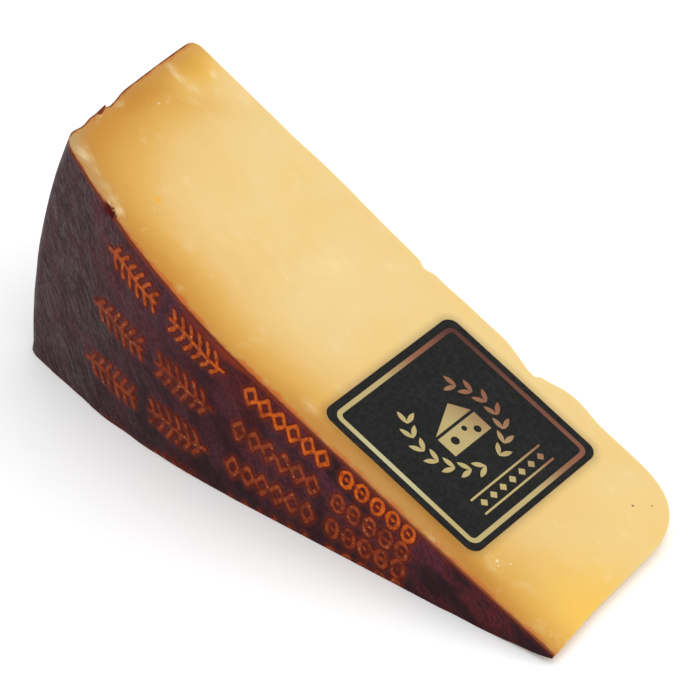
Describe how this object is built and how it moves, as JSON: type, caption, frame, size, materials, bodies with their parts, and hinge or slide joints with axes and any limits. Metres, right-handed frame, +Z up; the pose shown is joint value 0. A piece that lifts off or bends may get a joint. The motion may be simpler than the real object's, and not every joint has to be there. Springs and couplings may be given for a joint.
{
  "type": "cheese wedge",
  "caption": "Wedge of hard cheese cut from half the height of a dark coated wheel, lying on one cut, with a square label on the other.",
  "frame": {"origin": "middle of the underside's box, on the surface that the wedge lies on", "axes": "+X from the wheel's rim to the wedge's tip, +Y from the coated flat face to the cut at half height, +Z up"},
  "size_m": [0.1746, 0.066, 0.0693],
  "materials": {
    "cheese": "satin cream-yellow cheese paste, with a dark brown satin coating on the flat face and the rim",
    "label": null
  },
  "bodies": {
    "root": {"cheese_wedge": "cheese", "label": "label"}
  },
  "joints": []
}
